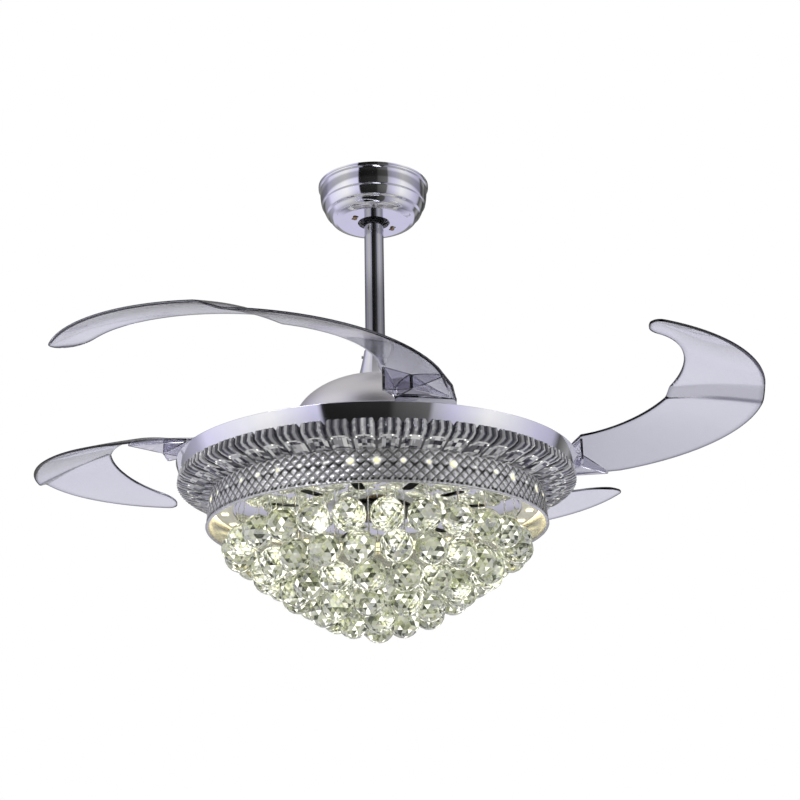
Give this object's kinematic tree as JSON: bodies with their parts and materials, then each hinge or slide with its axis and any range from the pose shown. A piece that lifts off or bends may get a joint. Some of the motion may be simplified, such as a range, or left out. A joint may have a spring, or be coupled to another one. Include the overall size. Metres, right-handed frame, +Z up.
{
  "type": "retractable blade ceiling fan",
  "caption": "Ceiling fan on a downrod with folding clear crescent blades over a round crystal lamp with a chrome band, lattice ring and tiers of faceted balls.",
  "frame": {"origin": "middle of the ceiling bracket's top face, where it meets the ceiling", "axes": "+Z up, along the downrod and the rotor's axis; +X towards the pivot side of blade_1"},
  "size_m": [0.9098, 0.9098, 0.607],
  "materials": {
    "bright_chrome": "mirror polished",
    "satin_nickel": "fine satin, warm grey",
    "zinc_steel": "zinc plated",
    "bare_steel": "machined",
    "cast_alloy": "die cast, matt",
    "clear_acrylic": "clear with a faint lavender tint",
    "clear_crystal": "polished, faceted",
    "silver_lattice": "plated plastic with a crisscross relief",
    "white_plastic": "moulded",
    "black_paint": "satin black",
    "black_plastic": "moulded",
    "magnet": "nickel grey",
    "copper_wire": "enamelled copper wire",
    "pale_paint": "white powder coat",
    "led_silicone": "diffusing, warm white light",
    "led_board": "white solder mask",
    "mirror_chrome": "polished plate",
    "bronze_nut": "dark nickel over brass"
  },
  "bodies": {
    "ceiling_mount": {"ceiling_bracket": "zinc_steel", "canopy": "bright_chrome", "canopy_screw_1": "zinc_steel", "canopy_screw_2": "zinc_steel"},
    "hanging_fan": {"hanger_ball": "white_plastic", "ball_pin": "zinc_steel", "downrod": "bright_chrome", "neck_cover": "bright_chrome", "neck_screw": "zinc_steel", "motor_yoke": "bare_steel", "yoke_pin": "zinc_steel", "dome_cover": "satin_nickel", "dome_screw_1": "zinc_steel", "dome_screw_2": "zinc_steel", "dome_screw_3": "zinc_steel", "motor_shaft": "bare_steel", "stator_core": "bare_steel", "stator_winding": "copper_wire", "lamp_pan": "pale_paint", "pan_nut": "zinc_steel", "chrome_band": "bright_chrome", "crystal_skirt": "clear_crystal", "lattice_ring": "silver_lattice", "lamp_drum": "pale_paint", "led_strip": "led_silicone", "led_board": "led_board", "led_driver": "white_plastic", "remote_receiver": "black_plastic", "mirror_plate_1": "mirror_chrome", "mirror_plate_2": "mirror_chrome", "mirror_plate_3": "mirror_chrome", "mirror_plate_4": "mirror_chrome", "centre_plate": "black_paint", "centre_nut": "bronze_nut"},
    "rotor": {"lower_bearing": "bare_steel", "upper_bearing": "bare_steel", "rotor_lower_shell": "cast_alloy", "rotor_upper_shell": "cast_alloy", "magnet_ring": "magnet", "blade_tray": "zinc_steel", "tray_screw_1": "zinc_steel", "tray_screw_2": "zinc_steel", "tray_screw_3": "zinc_steel", "tray_screw_4": "zinc_steel", "pivot_bolt_1": "zinc_steel", "pivot_nut_1": "zinc_steel", "return_spring_1": "bare_steel", "pivot_bolt_2": "zinc_steel", "pivot_nut_2": "zinc_steel", "return_spring_2": "bare_steel", "pivot_bolt_3": "zinc_steel", "pivot_nut_3": "zinc_steel", "return_spring_3": "bare_steel", "pivot_bolt_4": "zinc_steel", "pivot_nut_4": "zinc_steel", "return_spring_4": "bare_steel"},
    "folding_blade_1": {"blade_1": "clear_acrylic"},
    "folding_blade_2": {"blade_2": "clear_acrylic"},
    "folding_blade_3": {"blade_3": "clear_acrylic"},
    "folding_blade_4": {"blade_4": "clear_acrylic"}
  },
  "joints": [
    {"name": "hanger_swing", "type": "hinge", "parent": "ceiling_mount", "child": "hanging_fan", "pos_m": [0, 0, -0.02935], "axis": [1, 0, 0], "range_deg": [-12, 12]},
    {"name": "rotor_spin", "type": "hinge", "parent": "hanging_fan", "child": "rotor", "pos_m": [0, 0, -0.36], "axis": [0, 0, 1], "continuous": true},
    {"name": "blade_1_fold", "type": "hinge", "parent": "rotor", "child": "folding_blade_1", "pos_m": [0.178, 0.057, -0.378], "axis": [0, 0, 1], "range_deg": [-92, 0]},
    {"name": "blade_2_fold", "type": "hinge", "parent": "rotor", "child": "folding_blade_2", "pos_m": [0.057, -0.178, -0.378], "axis": [0, 0, 1], "range_deg": [-92, 0]},
    {"name": "blade_3_fold", "type": "hinge", "parent": "rotor", "child": "folding_blade_3", "pos_m": [-0.178, -0.057, -0.378], "axis": [0, 0, 1], "range_deg": [-92, 0]},
    {"name": "blade_4_fold", "type": "hinge", "parent": "rotor", "child": "folding_blade_4", "pos_m": [-0.057, 0.178, -0.378], "axis": [0, 0, 1], "range_deg": [-92, 0]}
  ],
  "couplings": [
    {"joint": "blade_2_fold", "follows": "blade_1_fold", "ratio": 1},
    {"joint": "blade_3_fold", "follows": "blade_1_fold", "ratio": 1},
    {"joint": "blade_4_fold", "follows": "blade_1_fold", "ratio": 1}
  ]
}
